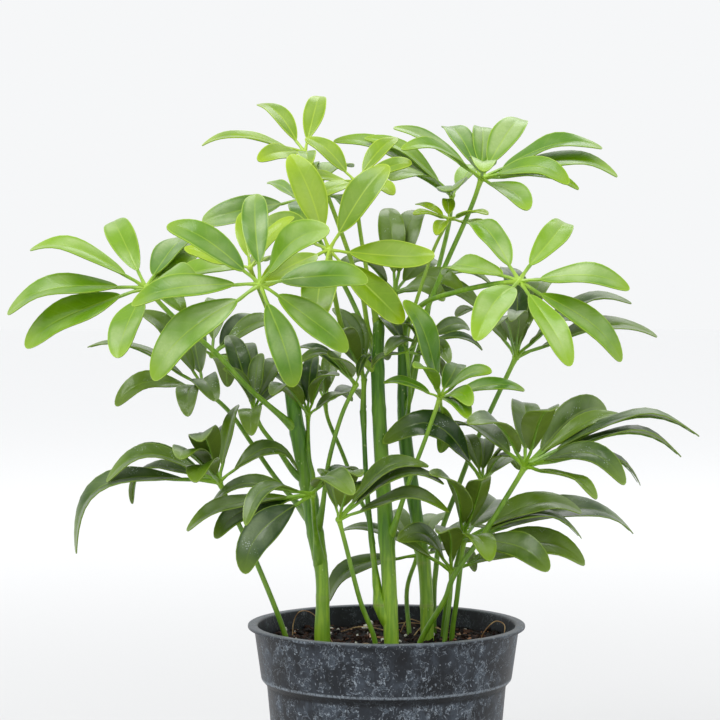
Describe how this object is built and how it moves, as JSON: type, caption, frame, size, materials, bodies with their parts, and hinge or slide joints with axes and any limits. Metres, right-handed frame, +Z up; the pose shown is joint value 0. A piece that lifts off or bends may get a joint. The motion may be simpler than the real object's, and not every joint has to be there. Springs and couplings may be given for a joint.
{
  "type": "potted umbrella plant",
  "caption": "Umbrella plant with whorls of glossy leaflets on long petioles, standing in a round black nursery pot.",
  "frame": {"origin": "centre of the pot's flat underside", "axes": "+Z up along the pot's axis, -Y towards the viewer of the plant's best side, +X to its right"},
  "size_m": [0.2629, 0.1615, 0.3047],
  "materials": {
    "pot": "black plastic with pale water marks, satin",
    "potting_mix": "crumbly dark mix with bark and perlite",
    "stem": "smooth green, satin",
    "young_leaf": "bright yellow-green, glossy",
    "grown_leaf": "mid green, glossy",
    "old_leaf": "dark green, glossy"
  },
  "bodies": {
    "root": {"leaf_back_high": "grown_leaf", "leaf_centre_back": "old_leaf", "leaf_centre_left": "old_leaf", "leaf_centre_right": "grown_leaf", "leaf_centre_young": "young_leaf", "leaf_left_back": "old_leaf", "leaf_left_front": "grown_leaf", "leaf_left_high": "grown_leaf", "leaf_left_inner": "old_leaf", "leaf_left_low": "old_leaf", "leaf_left_middle": "old_leaf", "leaf_left_thin": "old_leaf", "leaf_left_upper": "old_leaf", "leaf_left_young": "young_leaf", "leaf_low_back": "old_leaf", "leaf_low_centre": "old_leaf", "leaf_middle_high": "old_leaf", "leaf_middle_low": "old_leaf", "leaf_middle_thin": "old_leaf", "leaf_right_back": "old_leaf", "leaf_right_front": "grown_leaf", "leaf_right_inner": "old_leaf", "leaf_right_low": "old_leaf", "leaf_right_lowest": "old_leaf", "leaf_right_small": "old_leaf", "leaf_right_tuft": "old_leaf", "leaf_top_back": "grown_leaf", "leaf_top_left": "young_leaf", "leaf_top_middle": "young_leaf", "leaf_top_right": "grown_leaf", "leaf_top_small": "young_leaf", "pot": "pot", "potting_mix": "potting_mix", "stem_centre": "stem", "stem_left": "stem", "stem_right": "stem"}
  },
  "joints": []
}
